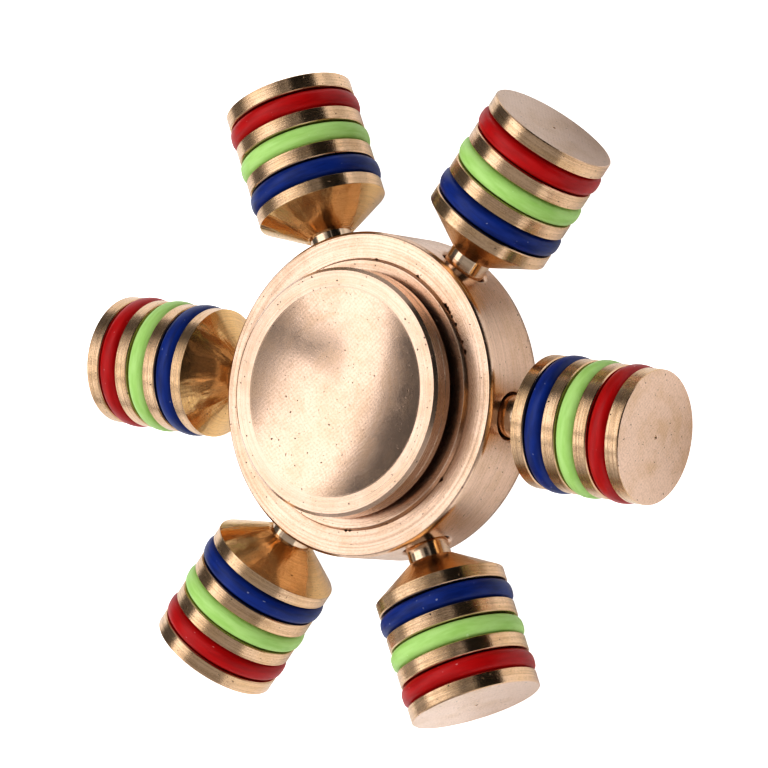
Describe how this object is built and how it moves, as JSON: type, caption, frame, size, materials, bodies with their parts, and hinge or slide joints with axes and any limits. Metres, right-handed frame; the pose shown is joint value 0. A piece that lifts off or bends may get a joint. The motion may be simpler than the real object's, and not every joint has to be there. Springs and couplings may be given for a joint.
{
  "type": "fidget spinner",
  "caption": "Hand spinner of turned brass: mushroom-shaped weights with coloured rubber rings stand round a hub that turns on a ball bearing between finger caps.",
  "frame": {"origin": "middle of the bearing, on the spin axis, halfway between the two finger caps", "axes": "+Z along the spin axis towards the front finger cap, +X along arm 1; arms are numbered anticlockwise as seen from +Z"},
  "size_m": [0.061, 0.0588, 0.0146],
  "materials": {
    "hub_brass": "fine turned, satin",
    "cap_brass": "fine turned, satin, with a smoother hollow",
    "weight_brass": "turned, semi-bright",
    "pin_brass": "ground and polished",
    "bearing_steel": "ground",
    "ball_steel": "polished",
    "shield_steel": "stamped",
    "cage_nylon": "moulded",
    "blue_rubber": "moulded, slightly glossy",
    "green_rubber": "moulded, slightly glossy",
    "red_rubber": "moulded, slightly glossy"
  },
  "bodies": {
    "caps": {"front_cap": "cap_brass", "back_cap": "cap_brass", "bearing_inner_race": "bearing_steel"},
    "spinner": {"hub_ring": "hub_brass", "bearing_lock_ring_front": "hub_brass", "bearing_lock_ring_back": "hub_brass", "bearing_outer_race": "bearing_steel", "bearing_shield_front": "shield_steel", "bearing_shield_back": "shield_steel", "arm_pin_1": "pin_brass", "arm_pin_2": "pin_brass", "arm_pin_3": "pin_brass", "arm_pin_4": "pin_brass", "arm_pin_5": "pin_brass", "arm_pin_6": "pin_brass", "arm_weight_1": "weight_brass", "arm_weight_2": "weight_brass", "arm_weight_3": "weight_brass", "arm_weight_4": "weight_brass", "arm_weight_5": "weight_brass", "arm_weight_6": "weight_brass", "blue_ring_1": "blue_rubber", "blue_ring_2": "blue_rubber", "blue_ring_3": "blue_rubber", "blue_ring_4": "blue_rubber", "blue_ring_5": "blue_rubber", "blue_ring_6": "blue_rubber", "green_ring_1": "green_rubber", "green_ring_2": "green_rubber", "green_ring_3": "green_rubber", "green_ring_4": "green_rubber", "green_ring_5": "green_rubber", "green_ring_6": "green_rubber", "red_ring_1": "red_rubber", "red_ring_2": "red_rubber", "red_ring_3": "red_rubber", "red_ring_4": "red_rubber", "red_ring_5": "red_rubber", "red_ring_6": "red_rubber"},
    "ball_set": {"bearing_balls": "ball_steel", "bearing_cage": "cage_nylon"}
  },
  "joints": [
    {"name": "spin", "type": "hinge", "parent": "caps", "child": "spinner", "pos_m": [0, 0, 0], "axis": [0, 0, 1], "continuous": true},
    {"name": "ball_orbit", "type": "hinge", "parent": "caps", "child": "ball_set", "pos_m": [0, 0, 0], "axis": [0, 0, 1], "continuous": true}
  ],
  "couplings": [
    {"joint": "ball_orbit", "follows": "spin", "ratio": 0.6323}
  ]
}
